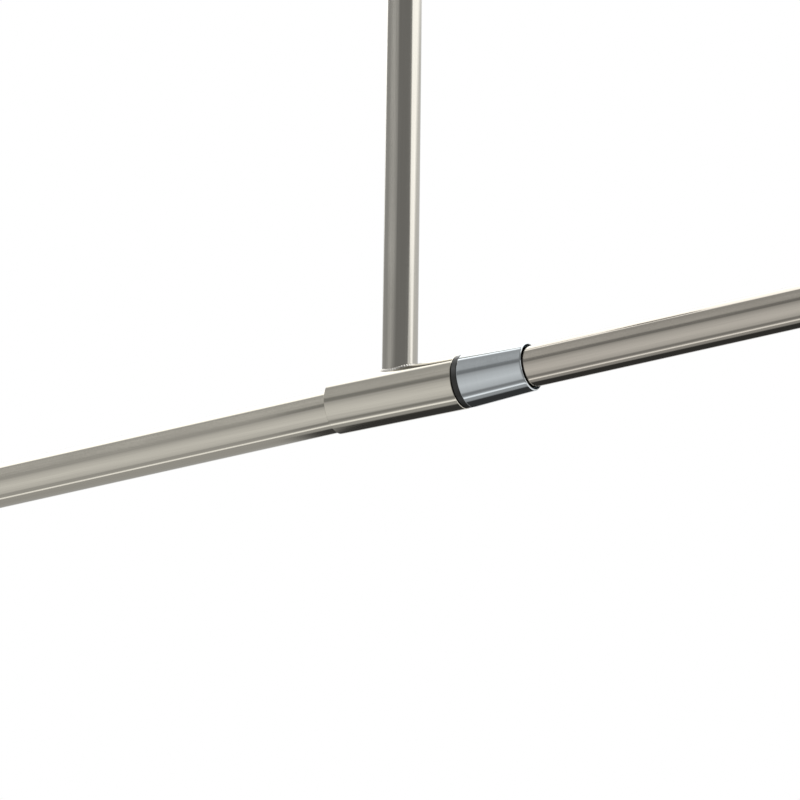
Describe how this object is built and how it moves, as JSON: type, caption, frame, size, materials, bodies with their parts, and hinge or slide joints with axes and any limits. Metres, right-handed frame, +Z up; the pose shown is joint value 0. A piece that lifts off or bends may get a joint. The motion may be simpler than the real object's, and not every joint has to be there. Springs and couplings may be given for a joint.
{
  "type": "tension shower curtain rod",
  "caption": "Telescoping tension rod for a shower, with a welded tee sleeve on a ceiling hanger, a tapered lock nut and a screw-out wall foot.",
  "frame": {"origin": "centre of the ceiling flange's top face, which lies on the ceiling", "axes": "+Z up, out of the flange's top face; +X along the rod, from the fixed foot to the screw-out foot"},
  "size_m": [0.9144, 0.09, 0.4812],
  "materials": {
    "tube_steel": "satin, brushed along the tubes",
    "collar_chrome": "bright, bluish",
    "weld_steel": "bright weld bead",
    "flange_steel": "satin",
    "plated_screws": "bright plated",
    "black_screws": "black oxide",
    "brass": "turned",
    "black_plastic": "satin moulded",
    "white_plastic": "satin moulded",
    "rubber": "matt"
  },
  "bodies": {
    "hanger": {"ceiling_flange": "flange_steel", "flange_grub_screws": "black_screws", "hanger_tube": "tube_steel", "weld_bead": "weld_steel", "tee_sleeve": "tube_steel"},
    "cover": {"flange_cover": "tube_steel", "cover_ring": "rubber"},
    "bush": {"sleeve_bush": "black_plastic"},
    "rod": {"outer_tube": "tube_steel", "collet": "black_plastic", "left_plug": "black_plastic", "left_stud": "plated_screws"},
    "left_foot": {"left_cup": "tube_steel", "left_pad": "rubber"},
    "clamp_ring": {"slip_ring": "white_plastic"},
    "nut": {"lock_nut": "collar_chrome"},
    "guide": {"guide_ring": "white_plastic"},
    "inner": {"inner_tube": "tube_steel", "guide_plug": "black_plastic", "foot_socket": "black_plastic", "threaded_insert": "brass"},
    "washer": {"thrust_washer": "white_plastic"},
    "screw": {"foot_screw": "plated_screws", "adjuster": "black_plastic"},
    "right_foot": {"right_cup": "tube_steel", "right_pad": "rubber"}
  },
  "joints": [
    {"name": "cover_slide", "type": "slide", "parent": "hanger", "child": "cover", "axis": [0.0204, 0, 0.9998], "range_m": [-0.38, 0]},
    {"name": "rod_turn", "type": "hinge", "parent": "hanger", "child": "bush", "pos_m": [0.0444, 0, -0.4572], "axis": [1, 0, 0], "continuous": true},
    {"name": "rod_slide", "type": "slide", "parent": "bush", "child": "rod", "axis": [1, 0, 0], "range_m": [0, 0.38]},
    {"name": "left_foot_swivel", "type": "hinge", "parent": "rod", "child": "left_foot", "pos_m": [-0.4554, 0, -0.4572], "axis": [1, 0, 0], "continuous": true},
    {"name": "nut_advance", "type": "slide", "parent": "rod", "child": "clamp_ring", "axis": [1, 0, 0], "range_m": [0, 0.003]},
    {"name": "nut_turn", "type": "hinge", "parent": "clamp_ring", "child": "nut", "pos_m": [0.085, 0, -0.4572], "axis": [1, 0, 0], "range_deg": [0, 721]},
    {"name": "telescope", "type": "slide", "parent": "rod", "child": "guide", "axis": [1, 0, 0], "range_m": [-0.3, 0.05]},
    {"name": "inner_turn", "type": "hinge", "parent": "guide", "child": "inner", "pos_m": [0, 0, -0.4572], "axis": [1, 0, 0], "continuous": true},
    {"name": "foot_advance", "type": "slide", "parent": "inner", "child": "washer", "axis": [1, 0, 0], "range_m": [-0.011, 0.024]},
    {"name": "screw_turn", "type": "hinge", "parent": "washer", "child": "screw", "pos_m": [0.4405, 0, -0.4572], "axis": [1, 0, 0], "range_deg": [-1981, 4321]},
    {"name": "right_foot_swivel", "type": "hinge", "parent": "washer", "child": "right_foot", "pos_m": [0.4418, 0, -0.4572], "axis": [1, 0, 0], "continuous": true}
  ],
  "couplings": [
    {"joint": "nut_turn", "follows": "nut_advance", "rad_per_m": 4188.8},
    {"joint": "screw_turn", "follows": "foot_advance", "rad_per_m": 3141.6}
  ]
}
